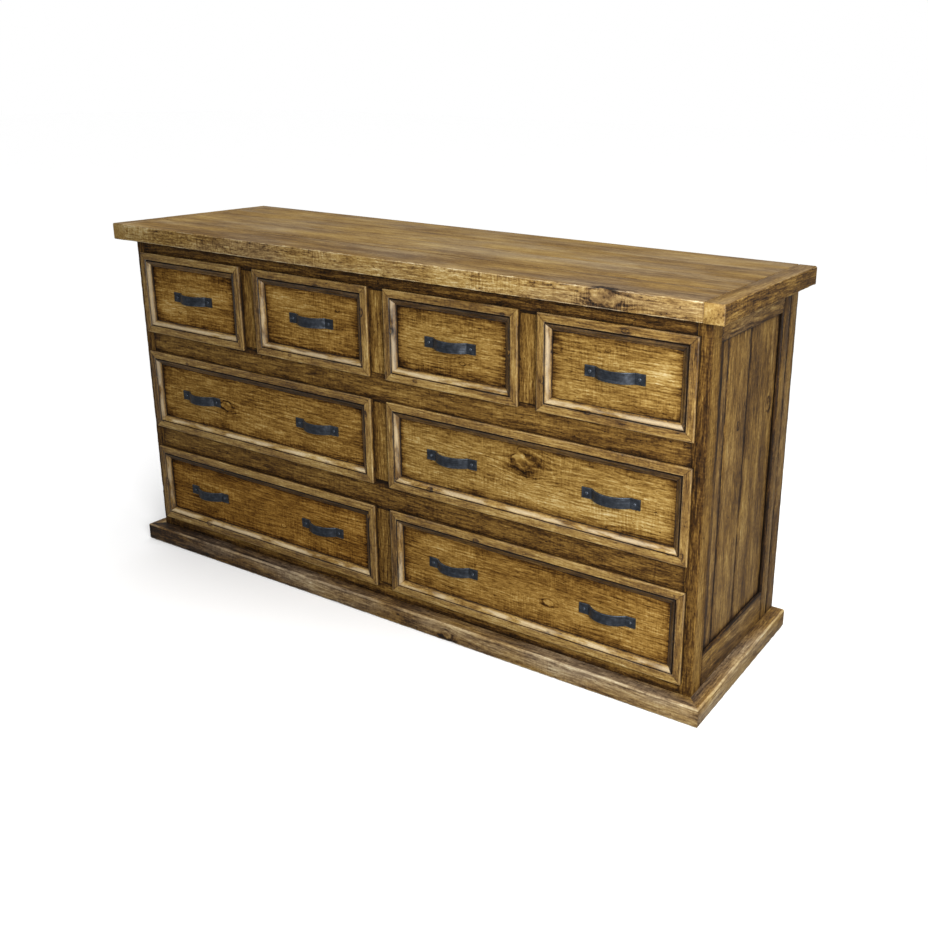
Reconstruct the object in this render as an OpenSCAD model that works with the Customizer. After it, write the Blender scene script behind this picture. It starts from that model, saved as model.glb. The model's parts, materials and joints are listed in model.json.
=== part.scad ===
// Rustic pine dresser with eight drawers: a thick plank top with cross boards at its ends,
// a face frame, frame-and-plank sides, a projecting base, drawer fronts with a mitred
// moulding around a flush board, and bowed iron strap pulls.
// Millimetres, +Z up. The front faces -Y and +X is to the right of someone facing it.
// The origin is on the floor, under the middle of the top.

/* [Body] */
// Width of the body over its posts
body_w = 1750; // [1400:10:2200]
// Depth of the body from the face frame to the back
body_d = 506; // [400:2:640]
// Height of the body between the base and the top
body_h = 860; // [680:5:1100]

/* [Top] */
// Thickness of the top
top_t = 44; // [30:1:60]
// Overhang of the top at the front
top_overhang_front = 41; // [37:1:60]
// Overhang of the top at each end
top_overhang_side = 40; // [37:1:60]
// Number of long planks side by side in the top
top_plank_count = 4; // [3:1:6]
// Width of the cross board at each end of the top
top_end_w = 46; // [35:1:120]

/* [Base] */
// Height of the base boards
base_h = 48; // [30:1:90]
// How far the base stands out from the body at the front and the ends
base_projection = 34; // [15:1:36]
// Width of the base boards, seen from above
base_board_w = 90; // [65:1:120]
// Chamfer along the top outer edge of the base
base_chamfer = 4; // [1:0.5:10]

/* [Face frame] */
// Thickness of the rails and stiles of the face frame
frame_t = 22; // [16:1:32]
// Height of the rail under the top
top_rail_h = 44; // [30:1:80]
// Height of the rail between the top row and the middle row
upper_rail_h = 76; // [40:1:100]
// Height of the rail between the middle row and the bottom row
lower_rail_h = 81; // [40:1:100]
// Height of the rail above the base
bottom_rail_h = 39.5; // [30:0.5:80]
// Width of the stile between the left and the right drawers
centre_stile_w = 71; // [50:1:100]
// Width of the short stiles in the top row
short_stile_w = 70; // [50:1:100]

/* [Posts and sides] */
// Width of each post, seen from the front
post_w = 33; // [28:1:60]
// Depth of the front posts
front_post_d = 52; // [40:1:80]
// Depth of the rear posts
rear_post_d = 50; // [30:1:80]
// Width of the side stile in front of each rear post
rear_stile_w = 42; // [25:1:80]
// Thickness of the rails and stiles of the sides
side_frame_t = 30; // [26:1:33]
// Height of the top rail of each side
side_top_rail_h = 56; // [30:1:100]
// Height of the bottom rail of each side
side_bottom_rail_h = 81; // [40:1:120]
// How far the side planks are set back from the face of the posts
side_recess = 9; // [4:0.5:12]
// Thickness of the side planks
side_plank_t = 12; // [8:1:14]
// Width of the narrow plank behind the front post
narrow_plank_w = 61; // [40:1:90]
// Width of the middle side plank
middle_plank_w = 124; // [60:1:160]
// Gap between neighbouring side planks
plank_gap = 1.5; // [0.5:0.5:4]
// Length of the planks' ends and edges inside their grooves
plank_tongue = 8; // [4:1:12]

/* [Inside and back] */
// Thickness of the partition between the left and the right drawers
partition_t = 18; // [12:1:25]
// Thickness of the back panel
back_t = 6; // [4:1:12]
// Thickness of the rails of the back
back_rail_t = 22; // [16:1:32]
// Thickness of the runners under the drawer sides
runner_t = 20; // [12:1:30]
// How far a runner reaches past the inner face of a drawer side
runner_reach = 8; // [4:1:20]
// Height of the guides that stand on the runners
guide_h = 25; // [15:1:50]
// Width of the cleats that hold the top
cleat_w = 45; // [30:1:80]
// Thickness of the cleats that hold the top
cleat_t = 20; // [12:1:28]

/* [Drawers] */
// Gap around a drawer's front board inside its opening
drawer_gap = 3; // [2:0.5:5]
// How far the drawer moulding laps over the face frame
moulding_lap = 9.5; // [6:0.5:14]
// Gap between the back of the moulding and the face frame
lap_gap = 1; // [0.5:0.5:3]
// Thickness of a drawer's front board
front_t = 20; // [15:1:25]
// Thickness of the drawer sides and backs
drawer_side_t = 12; // [9:1:18]
// Thickness of the drawer bottoms
drawer_bottom_t = 6; // [4:1:9]
// Height of the drawer bottom above the lower edge of the drawer sides
bottom_rise = 10; // [6:1:20]
// Depth of the groove that holds the drawer bottom
groove_depth = 6; // [3:1:8]
// How much lower the drawer sides are than the front board
side_drop = 12; // [0:1:40]
// Clear space between the back of a drawer and the rails of the back
drawer_back_gap = 8; // [4:1:40]
// Clear height between a drawer side and its runner
runner_gap = 0.5; // [0.3:0.1:2]
// Clear space between a drawer side and the guide beside it
guide_gap = 0.8; // [0.5:0.1:3]

/* [Drawer moulding] */
// Width of the moulding
moulding_w = 36.3; // [28:0.1:50]
// Thickness of the moulding
moulding_t = 11; // [8:0.5:16]
// Width of the flat outer band, up to the middle of the groove
band_w = 20.6; // [14:0.1:26]
// Width of the groove between the band and the inner slope
quirk_w = 2; // [1:0.1:4]
// Depth of that groove
quirk_d = 3; // [1:0.1:5]
// Height of the moulding at its inner edge
inner_edge_h = 2; // [1:0.1:5]
// Radius of the outer edge of the moulding
moulding_round = 2; // [0.5:0.1:4]

/* [Pulls] */
// Length of a pull
pull_len = 147; // [110:1:180]
// Height of the strap
pull_h = 26; // [16:1:40]
// Thickness of the strap
pull_t = 4; // [3:0.5:6]
// How far a pull stands out from the drawer front
pull_reach = 24; // [20:1:32]
// Length of the flat flange at each end of a pull
flange_len = 21; // [20:1:35]
// Distance from the end of a pull to the middle of its screw
screw_inset = 13; // [8:0.5:16]
// Radius of the screw shank
screw_r = 2.3; // [1.5:0.1:3]
// Radius of the screw head
screw_head_r = 4.2; // [3:0.1:6]
// Radius of the flat on the screw head
screw_flat_r = 2.5; // [1.5:0.1:3]
// Height of the screw head
screw_head_h = 2.2; // [1:0.1:4]
// Length of screw inside the drawer's front board
screw_bite = 14; // [8:1:15]

/* [Hidden] */
// Hairline between neighbouring pieces that are drawn in the same node
hairline = 0.2;
// Clearance of a panel in its groove, each side
groove_clear = 0.3;
// Clearance around a screw shank
screw_clear = 0.2;
// Extra length that carries a cut through a face
cut_over = 1;
// Shadow line cut along the joint of side stile and rear post: width and depth
seam_w = 2;
seam_d = 5;
// Sides that draw a hole or a screw, and the wide curve of a pull
round_sides = 32;
bow_sides = 96;
// Corners that draw a quarter round, and points that draw the slope of the moulding
round_steps = 4;
slope_steps = 9;

// Overall places
top_w = body_w + 2 * top_overhang_side;
top_d = body_d + top_overhang_front;
face_y = top_overhang_front - top_d / 2;
body_top = base_h + body_h;
half_w = body_w / 2;

// Openings of the face frame
open_h = (body_h - top_rail_h - upper_rail_h - lower_rail_h - bottom_rail_h) / 3;
short_open_w = (body_w - 2 * post_w - 2 * short_stile_w - centre_stile_w) / 4;
long_open_w = 2 * short_open_w + short_stile_w;
bottom_row_z = base_h + bottom_rail_h;
middle_row_z = bottom_row_z + open_h + lower_rail_h;
top_row_z = middle_row_z + open_h + upper_rail_h;
top_rail_z = top_row_z + open_h;

// Middles of the openings, measured from the centre of the dresser
inner_x = centre_stile_w / 2 + short_open_w / 2;
outer_x = inner_x + short_open_w + short_stile_w;
long_x = centre_stile_w / 2 + long_open_w / 2;
short_stile_x = centre_stile_w / 2 + short_open_w + short_stile_w / 2;

// Levels of the rails, as [bottom, height], shared by the face frame and the back
RAILS = [
    [base_h, bottom_rail_h],
    [middle_row_z - lower_rail_h, lower_rail_h],
    [top_row_z - upper_rail_h, upper_rail_h],
    [top_rail_z, top_rail_h]
];

// Each drawer as [middle of its opening, bottom of its opening, width of its opening]
DRAWERS = [
    [-outer_x, top_row_z, short_open_w],
    [-inner_x, top_row_z, short_open_w],
    [inner_x, top_row_z, short_open_w],
    [outer_x, top_row_z, short_open_w],
    [-long_x, middle_row_z, long_open_w],
    [long_x, middle_row_z, long_open_w],
    [-long_x, bottom_row_z, long_open_w],
    [long_x, bottom_row_z, long_open_w]
];

// Depths behind the face frame's front
back_rail_y = body_d - back_t - back_rail_t;
rear_post_y = body_d - rear_post_d;
rear_stile_y = rear_post_y - rear_stile_w;
board_y = -lap_gap;
box_y = board_y + front_t;
box_end_y = back_rail_y - drawer_back_gap;

// Side panels
plank_out_x = half_w - side_recess;
plank_in_x = plank_out_x - side_plank_t;
side_frame_x = half_w - side_frame_t;
plank_low_z = base_h + side_bottom_rail_h;
plank_high_z = body_top - side_top_rail_h;

// Drawer boxes
box_h = open_h - 2 * drawer_gap - side_drop;
side_inset = drawer_gap + drawer_side_t;
bottom_top_z = bottom_rise + drawer_bottom_t;

// Pulls
pull_chord = pull_len / 2 - flange_len;
pull_radius = (pull_chord * pull_chord + pull_reach * pull_reach) / (2 * pull_reach);
screw_x = pull_len / 2 - screw_inset;

// Colours
pine = [0.46, 0.34, 0.16];
pine_light = [0.58, 0.45, 0.24];
pine_dark = [0.30, 0.22, 0.11];
pine_grey = [0.40, 0.31, 0.20];
pine_raw = [0.78, 0.64, 0.42];
iron = [0.11, 0.13, 0.16];

// A board between two corners, with y measured back from the front of the face frame
module board(x0, x1, y0, y1, z0, z1) {
    translate([x0, face_y + y0, z0]) cube([x1 - x0, y1 - y0, z1 - z0]);
}

module left_copy() {
    mirror([1, 0, 0]) children();
}

// ---- top ----

module top_planks() {
    plank_x = top_w / 2 - top_end_w;
    pitch = top_d / top_plank_count;
    color(pine_grey)
    for (i = [0 : top_plank_count - 1]) {
        front_cut = i == 0 ? 0 : hairline;
        y0 = -top_overhang_front + i * pitch;
        board(-plank_x, plank_x, y0 + front_cut, y0 + pitch, body_top, body_top + top_t);
    }
}

module top_end_boards() {
    color(pine_grey)
    for (side = [0, 1])
        mirror([side, 0, 0])
        board(top_w / 2 - top_end_w, top_w / 2, -top_overhang_front, body_d,
              body_top, body_top + top_t);
}

// ---- base ----

// Section of a base board: the first coordinate runs inwards from its outer face
module base_section() {
    polygon([
        [0, 0],
        [base_board_w, 0],
        [base_board_w, base_h],
        [base_chamfer, base_h],
        [0, base_h - base_chamfer]
    ]);
}

module base_front() {
    reach = half_w + base_projection;
    inner = reach - base_board_w;
    color(pine_dark)
    translate([0, face_y - base_projection, 0])
    intersection() {
        rotate([90, 0, 90])
        translate([0, 0, -reach])
        linear_extrude(height = 2 * reach) base_section();
        linear_extrude(height = base_h)
        polygon([[-reach, 0], [reach, 0], [inner, base_board_w], [-inner, base_board_w]]);
    }
}

module base_right() {
    reach = half_w + base_projection;
    length = body_d + base_projection;
    color(pine_dark)
    translate([reach, face_y - base_projection, 0])
    intersection() {
        rotate([90, 0, 180])
        linear_extrude(height = length) base_section();
        linear_extrude(height = base_h)
        polygon([[0, 0], [0, length], [-base_board_w, length], [-base_board_w, base_board_w]]);
    }
}

module base_left() {
    left_copy() base_right();
}

module base_back() {
    inner = half_w + base_projection - base_board_w;
    color(pine_dark) board(-inner, inner, body_d - base_board_w, body_d, 0, base_h);
}

// ---- posts and sides ----

// Space of the groove that takes the planks' front and rear edges
module plank_edge_groove(y0, y1) {
    board(plank_in_x - groove_clear, plank_out_x + groove_clear, y0, y1,
          plank_low_z - plank_tongue - groove_clear, plank_high_z + plank_tongue + groove_clear);
}

module front_post_right() {
    color(pine)
    difference() {
        board(half_w - post_w, half_w, 0, front_post_d, base_h, body_top);
        plank_edge_groove(front_post_d - plank_tongue - groove_clear, front_post_d + cut_over);
    }
}

module front_post_left() {
    left_copy() front_post_right();
}

module rear_post_right() {
    color(pine_grey) board(half_w - post_w, half_w, rear_post_y, body_d, base_h, body_top);
}

module rear_post_left() {
    left_copy() rear_post_right();
}

module rear_stile_right() {
    color(pine_grey)
    difference() {
        board(side_frame_x, half_w, rear_stile_y, rear_post_y, base_h, body_top);
        plank_edge_groove(rear_stile_y - cut_over, rear_stile_y + plank_tongue + groove_clear);
        board(half_w - seam_d, half_w + cut_over, rear_post_y - seam_w, rear_post_y + cut_over,
              base_h - cut_over, body_top + cut_over);
    }
}

module rear_stile_left() {
    left_copy() rear_stile_right();
}

module side_rails_right() {
    color(pine_grey)
    difference() {
        union() {
            board(side_frame_x, half_w, front_post_d, rear_stile_y, base_h, plank_low_z);
            board(side_frame_x, half_w, front_post_d, rear_stile_y, plank_high_z, body_top);
        }
        board(plank_in_x - groove_clear, plank_out_x + groove_clear,
              front_post_d - cut_over, rear_stile_y + cut_over,
              plank_low_z - plank_tongue - groove_clear,
              plank_high_z + plank_tongue + groove_clear);
    }
}

module side_rails_left() {
    left_copy() side_rails_right();
}

module side_planks_right() {
    front_edge = front_post_d - plank_tongue;
    joint_1 = front_post_d + narrow_plank_w;
    joint_2 = joint_1 + middle_plank_w;
    rear_edge = rear_stile_y + plank_tongue;
    starts = [front_edge, joint_1 + plank_gap / 2, joint_2 + plank_gap / 2];
    ends = [joint_1 - plank_gap / 2, joint_2 - plank_gap / 2, rear_edge];
    color(pine_grey)
    for (i = [0 : 2])
        board(plank_in_x, plank_out_x, starts[i], ends[i],
              plank_low_z - plank_tongue, plank_high_z + plank_tongue);
}

module side_planks_left() {
    left_copy() side_planks_right();
}

// ---- face frame ----

module face_rail(level) {
    color(pine)
    board(-half_w + post_w, half_w - post_w, 0, frame_t,
          RAILS[level][0], RAILS[level][0] + RAILS[level][1]);
}

module bottom_rail() {
    face_rail(0);
}

module lower_rail() {
    face_rail(1);
}

module upper_rail() {
    face_rail(2);
}

module top_rail() {
    face_rail(3);
}

module centre_stile() {
    color(pine)
    for (z = [bottom_row_z, middle_row_z, top_row_z])
        board(-centre_stile_w / 2, centre_stile_w / 2, 0, frame_t, z, z + open_h);
}

module short_stiles() {
    color(pine)
    for (x = [-short_stile_x, short_stile_x])
        board(x - short_stile_w / 2, x + short_stile_w / 2, 0, frame_t,
              top_row_z, top_row_z + open_h);
}

// ---- back and inside ----

module back_panel() {
    color(pine_raw)
    board(-half_w + post_w, half_w - post_w, body_d - back_t, body_d, base_h, body_top);
}

module back_rails() {
    color(pine_raw)
    for (rail = RAILS)
        board(-half_w + post_w, half_w - post_w, back_rail_y, body_d - back_t,
              rail[0], rail[0] + rail[1]);
}

module centre_partition() {
    color(pine_raw)
    board(-partition_t / 2, partition_t / 2, frame_t, back_rail_y, base_h, body_top);
}

// A strip from the face frame to the back rails, with its top at z1
module runner(x0, x1, z1) {
    board(x0, x1, frame_t, back_rail_y, z1 - runner_t, z1);
}

module drawer_runners() {
    centre_reach = centre_stile_w / 2 + side_inset + runner_reach;
    short_reach = short_stile_w / 2 + side_inset + runner_reach;
    outer_edge = half_w - post_w;
    color(pine_raw)
    for (row = [bottom_row_z, middle_row_z, top_row_z])
        for (side = [0, 1])
            mirror([side, 0, 0]) {
                runner_top = row + drawer_gap - runner_gap;
                runner(partition_t / 2, centre_reach, runner_top);
                runner(outer_edge - side_inset - runner_reach, outer_edge, runner_top);
                if (row == top_row_z)
                    runner(short_stile_x - short_reach, short_stile_x + short_reach, runner_top);
            }
}

module drawer_guides() {
    centre_edge = centre_stile_w / 2 + drawer_gap - guide_gap;
    short_edge = short_stile_w / 2 + drawer_gap - guide_gap;
    color(pine_raw)
    for (row = [bottom_row_z, middle_row_z, top_row_z])
        for (side = [0, 1])
            mirror([side, 0, 0]) {
                runner_top = row + drawer_gap - runner_gap;
                board(partition_t / 2, centre_edge, frame_t, back_rail_y,
                      runner_top, runner_top + guide_h);
                if (row == top_row_z)
                    board(short_stile_x - short_edge, short_stile_x + short_edge,
                          frame_t, back_rail_y, runner_top, runner_top + guide_h);
            }
}

module top_cleats() {
    color(pine_raw)
    for (side = [0, 1])
        mirror([side, 0, 0])
        for (x = [partition_t / 2, short_stile_x - cleat_w / 2, half_w - post_w - cleat_w])
            board(x, x + cleat_w, frame_t, back_rail_y, body_top - cleat_t, body_top);
}

// ---- drawers ----

// Middles of the pulls on a drawer, from the middle of its opening
function pull_places(drawer) =
    drawer[2] == short_open_w ? [0] : [-(outer_x - inner_x) / 2, (outer_x - inner_x) / 2];

module drawer_front(n) {
    drawer = DRAWERS[n - 1];
    half = drawer[2] / 2 - drawer_gap;
    low = drawer[1] + drawer_gap;
    high = drawer[1] + open_h - drawer_gap;
    color(pine)
    difference() {
        board(drawer[0] - half, drawer[0] + half, board_y, box_y, low, high);
        for (place = pull_places(drawer), side = [-1, 1])
            translate([drawer[0] + place + side * screw_x, face_y + board_y - cut_over,
                       drawer[1] + open_h / 2])
            rotate([-90, 0, 0])
            cylinder(r = screw_r + screw_clear, h = cut_over + screw_bite + screw_clear, $fn = round_sides);
    }
}

// Section of the moulding: first coordinate inwards from its outer edge, second its height
module moulding_section() {
    slope_start = band_w + quirk_w / 2;
    slope_w = moulding_w - slope_start;
    slope_h = moulding_t - inner_edge_h;
    edge = [for (i = [0 : round_steps])
        let (a = 90 * i / round_steps)
        [moulding_round * (1 - cos(a)), moulding_t - moulding_round * (1 - sin(a))]];
    slope = [for (i = [0 : slope_steps])
        let (u = i / slope_steps)
        [slope_start + slope_w * u, inner_edge_h + slope_h * (1 + cos(180 * u)) / 2]];
    polygon(concat(
        [[0, 0]],
        edge,
        [[band_w - quirk_w / 2, moulding_t], [band_w, moulding_t - quirk_d]],
        slope,
        [[moulding_w, 0]]
    ));
}

// One mitred length of moulding: it lies along X, its inner edge towards +Y, its face up
module moulding_length(length) {
    half = length / 2 - hairline / 2;
    intersection() {
        rotate([90, 0, 90])
        translate([0, 0, -half])
        linear_extrude(height = 2 * half) moulding_section();
        linear_extrude(height = moulding_t + cut_over)
        polygon([[-half, 0], [half, 0], [half - moulding_w, moulding_w],
                 [moulding_w - half, moulding_w]]);
    }
}

module drawer_moulding(n) {
    drawer = DRAWERS[n - 1];
    width = drawer[2] + 2 * moulding_lap;
    height = open_h + 2 * moulding_lap;
    color(pine_light)
    translate([drawer[0], face_y + board_y, drawer[1] + open_h / 2])
    rotate([90, 0, 0])
    for (side = [0 : 3]) {
        upright = side % 2 == 1;
        rotate([0, 0, 90 * side])
        translate([0, -(upright ? width : height) / 2, 0])
        moulding_length(upright ? height : width);
    }
}

module drawer_box(n) {
    drawer = DRAWERS[n - 1];
    outer = drawer[2] / 2 - drawer_gap;
    inner = outer - drawer_side_t;
    low = drawer[1] + drawer_gap;
    groove = inner + groove_depth;
    color(pine_raw) {
        for (side = [0, 1])
            translate([drawer[0], 0, 0])
            mirror([side, 0, 0])
            difference() {
                board(inner, outer, box_y, box_end_y, low, low + box_h);
                board(inner - cut_over, groove, box_y - cut_over, box_end_y + cut_over,
                      low + bottom_rise, low + bottom_top_z);
            }
        board(drawer[0] - inner + hairline, drawer[0] + inner - hairline,
              box_end_y - drawer_side_t, box_end_y,
              low + bottom_top_z, low + box_h);
        board(drawer[0] - groove + groove_clear, drawer[0] + groove - groove_clear,
              box_y, box_end_y,
              low + bottom_rise + groove_clear, low + bottom_top_z - groove_clear);
    }
}

// Outline of the strap seen from above: its back lies on y = 0 and it bows towards +Y
module strap_outline() {
    union() {
        for (side = [0, 1])
            mirror([side, 0])
            translate([pull_chord - pull_t, 0])
            square([pull_len / 2 - pull_chord + pull_t, pull_t]);
        intersection() {
            translate([0, pull_reach - pull_radius])
            difference() {
                circle(r = pull_radius, $fn = bow_sides);
                circle(r = pull_radius - pull_t, $fn = bow_sides);
            }
            translate([-pull_len / 2, 0]) square([pull_len, pull_reach + cut_over]);
        }
    }
}

module pull() {
    difference() {
        translate([0, 0, -pull_h / 2])
        linear_extrude(height = pull_h) strap_outline();
        for (side = [-1, 1])
            translate([side * screw_x, -cut_over, 0])
            rotate([-90, 0, 0])
            cylinder(r = screw_r + screw_clear, h = pull_t + 2 * cut_over, $fn = round_sides);
    }
}

// A screw whose head bears on a strap that lies on y = 0
module pull_screw() {
    translate([0, -screw_bite, 0])
    rotate([-90, 0, 0])
    cylinder(r = screw_r, h = screw_bite + pull_t + hairline + screw_head_h / 2, $fn = round_sides);
    translate([0, pull_t + hairline, 0])
    rotate([-90, 0, 0])
    cylinder(r1 = screw_head_r, r2 = screw_flat_r, h = screw_head_h, $fn = round_sides);
}

module drawer_pulls(n) {
    drawer = DRAWERS[n - 1];
    color(iron)
    for (place = pull_places(drawer))
        translate([drawer[0] + place, face_y + board_y, drawer[1] + open_h / 2])
        rotate([0, 0, 180]) {
            pull();
            for (side = [-1, 1])
                translate([side * screw_x, 0, 0]) pull_screw();
        }
}

top_planks();
top_end_boards();
base_front();
base_left();
base_right();
base_back();
front_post_left();
front_post_right();
rear_post_left();
rear_post_right();
rear_stile_left();
rear_stile_right();
top_rail();
upper_rail();
lower_rail();
bottom_rail();
centre_stile();
short_stiles();
side_rails_left();
side_rails_right();
side_planks_left();
side_planks_right();
back_panel();
back_rails();
centre_partition();
drawer_runners();
drawer_guides();
top_cleats();
drawer_front(1);  // drawer_1_front
drawer_moulding(1);  // drawer_1_moulding
drawer_box(1);  // drawer_1_box
drawer_pulls(1);  // drawer_1_pull
drawer_front(2);  // drawer_2_front
drawer_moulding(2);  // drawer_2_moulding
drawer_box(2);  // drawer_2_box
drawer_pulls(2);  // drawer_2_pull
drawer_front(3);  // drawer_3_front
drawer_moulding(3);  // drawer_3_moulding
drawer_box(3);  // drawer_3_box
drawer_pulls(3);  // drawer_3_pull
drawer_front(4);  // drawer_4_front
drawer_moulding(4);  // drawer_4_moulding
drawer_box(4);  // drawer_4_box
drawer_pulls(4);  // drawer_4_pull
drawer_front(5);  // drawer_5_front
drawer_moulding(5);  // drawer_5_moulding
drawer_box(5);  // drawer_5_box
drawer_pulls(5);  // drawer_5_pulls
drawer_front(6);  // drawer_6_front
drawer_moulding(6);  // drawer_6_moulding
drawer_box(6);  // drawer_6_box
drawer_pulls(6);  // drawer_6_pulls
drawer_front(7);  // drawer_7_front
drawer_moulding(7);  // drawer_7_moulding
drawer_box(7);  // drawer_7_box
drawer_pulls(7);  // drawer_7_pulls
drawer_front(8);  // drawer_8_front
drawer_moulding(8);  // drawer_8_moulding
drawer_box(8);  // drawer_8_box
drawer_pulls(8);  // drawer_8_pulls
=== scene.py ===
"""The looks of the rustic pine dresser: worn boards, glazed pine with painted shade and sheen, hammered iron,
light and camera.

Every board is lofted along its grain inside its own CAD solid, with eased and nicked edges, and keeps
where each point lies in the board as mesh attributes, from which the wood material draws its grain.
"""

import json
import math
from types import SimpleNamespace

import bpy
import numpy as np
from mathutils import Matrix, Vector

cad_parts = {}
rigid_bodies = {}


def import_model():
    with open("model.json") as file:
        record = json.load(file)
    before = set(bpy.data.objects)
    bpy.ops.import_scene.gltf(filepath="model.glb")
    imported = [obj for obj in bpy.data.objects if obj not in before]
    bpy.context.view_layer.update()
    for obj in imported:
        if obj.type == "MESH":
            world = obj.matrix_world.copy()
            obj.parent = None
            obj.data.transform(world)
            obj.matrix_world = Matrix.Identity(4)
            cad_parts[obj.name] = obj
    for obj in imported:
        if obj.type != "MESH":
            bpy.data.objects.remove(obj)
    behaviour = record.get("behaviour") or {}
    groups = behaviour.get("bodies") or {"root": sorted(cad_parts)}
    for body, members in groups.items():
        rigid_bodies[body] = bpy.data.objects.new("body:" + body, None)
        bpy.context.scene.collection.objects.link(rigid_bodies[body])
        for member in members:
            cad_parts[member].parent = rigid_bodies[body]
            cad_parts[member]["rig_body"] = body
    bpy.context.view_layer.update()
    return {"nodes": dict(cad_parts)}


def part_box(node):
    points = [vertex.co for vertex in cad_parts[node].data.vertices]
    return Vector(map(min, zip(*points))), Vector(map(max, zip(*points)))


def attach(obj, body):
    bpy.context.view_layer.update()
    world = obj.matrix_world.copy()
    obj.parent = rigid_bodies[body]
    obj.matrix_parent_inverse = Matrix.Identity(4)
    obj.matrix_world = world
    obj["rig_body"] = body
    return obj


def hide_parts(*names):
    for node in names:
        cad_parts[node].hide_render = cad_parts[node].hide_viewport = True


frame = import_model()
MM = 0.001

# ---- camera, solved from the dresser's own straight edges ----

CAMERA_AT = (1.669, -2.108, 1.356)
CAMERA_AZIMUTH = math.radians(30.24)
CAMERA_ELEVATION = math.radians(17.27)
CAMERA_ROLL = math.radians(1.33)
CAMERA_LENS = 40.34
CAMERA_SENSOR = 36.0
CAMERA_SHIFT = (-0.1266, -0.0646)

# ---- light ----

CEILING = 2.75
CEILING_SPREAD = math.radians(80)
CEILING_TILT = (math.radians(-8), math.radians(6), 0)
KEY_AT = (1.9, -1.75, 1.35)
KEY_TOWARDS = (0.5, 0, 0.5)
KEY_SIZE = (0.9, 0.9)
KEY_POWER = 76
FLOOR_SIZE = 60
FLOOR_SEEN = 0.98
FLOOR_GRAIN = 0.02
FLOOR_BOUNCE = 0.22
SKY_LIGHT = 0.18
SKY_SEEN = 1.0

# ---- the detail: sizes in metres, and how finely it is divided ----

MOULDING_BAND = 20.6 * MM
MOULDING_WIDTH = 36.3 * MM
MOULDING_HEIGHT = 11 * MM
MOULDING_INNER = 2 * MM
MOULDING_ROUND = 1.6 * MM
SLOPE_STEPS = 11
QUIRK_WIDTH = 3 * MM
QUIRK_DEPTH = 3.5 * MM
HAIRLINE = 0.1 * MM
GROOVE_DEPTH = 8.3 * MM
GROOVE_PLAY = 0.6 * MM
DRAWER_GROOVE = 6 * MM
LAP = 9.5 * MM
SEAM_WIDTH = 2 * MM
SEAM_DEPTH = 5 * MM
PULL_FLANGE = 21 * MM
STRAP = 4 * MM
STRAP_ROUND = 0.9 * MM
STRAP_STEP = 2.4 * MM
STRAP_DENTS = 70
WIDEST_SCREW = 50 * MM
SCREW_HEAD = 2.2 * MM
SCREW_SLOT = 0.6 * MM
SCREW_TURNS = 24

# ---- how a board is cut and worn: sizes in metres, shares and counts ----

SAME_POINT = 0.02 * MM
ARC_STEPS = 3
EASED_SHARE = 0.3
SUPPORT = 1.2 * MM
SUPPORT_SHARE = 0.15
LONG_WAVES = (60 * MM, 340 * MM)
SHORT_WAVES = (14 * MM, 60 * MM)
WAVES = 5
NICK_WIDTH_MM = (4, 13)
NICK_DEPTH_MM = (0.4, 1.5)
NICK_REACH = 5 * MM
MITRED_END = 0.05 * MM
END_BAND = 3 * MM
END_FACE = 0.5 * MM
SHARP_ANGLE = math.radians(38)
SKIN_FACING = 0.75

OUT = {
    "+x": Vector((1, 0, 0)),
    "-x": Vector((-1, 0, 0)),
    "+y": Vector((0, 1, 0)),
    "-y": Vector((0, -1, 0)),
    "+z": Vector((0, 0, 1)),
    "-z": Vector((0, 0, -1)),
}


# ---- reading the frame ----


def solids(node):
    """The box of each separate solid in a CAD node, as (low, high), sorted by place."""
    mesh = frame["nodes"][node].data
    co = np.zeros(len(mesh.vertices) * 3, np.float32)
    mesh.vertices.foreach_get("co", co)
    co = co.reshape(-1, 3)
    _, same = np.unique(np.round(co / SAME_POINT).astype(np.int64), axis=0, return_inverse=True)
    same = same.ravel()
    parent = list(range(int(same.max()) + 1))

    def root(i):
        while parent[i] != i:
            parent[i] = parent[parent[i]]
            i = parent[i]
        return i

    for edge in mesh.edges:
        a, b = root(int(same[edge.vertices[0]])), root(int(same[edge.vertices[1]]))
        parent[a] = b
    group = np.array([root(int(s)) for s in same])
    boxes = []
    for g in np.unique(group):
        part = co[group == g]
        boxes.append((Vector(part.min(0).tolist()), Vector(part.max(0).tolist())))
    return sorted(boxes, key=lambda b: tuple(round(v, 4) for v in (*b[0], *b[1])))


# ---- boards ----


def noise_row(rng, waves):
    """A smooth random function of the distance along a board, from about -1 to 1."""
    parts = [(rng.uniform(*waves), rng.uniform(0, 2 * math.pi), rng.uniform(-9, 9)) for _ in range(WAVES)]

    def value(along, round_section):
        total = sum(
            np.sin(2 * math.pi * along[:, None] / w + p + k * round_section[None, :]) for w, p, k in parts
        )
        return total / len(parts)

    return value


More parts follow.
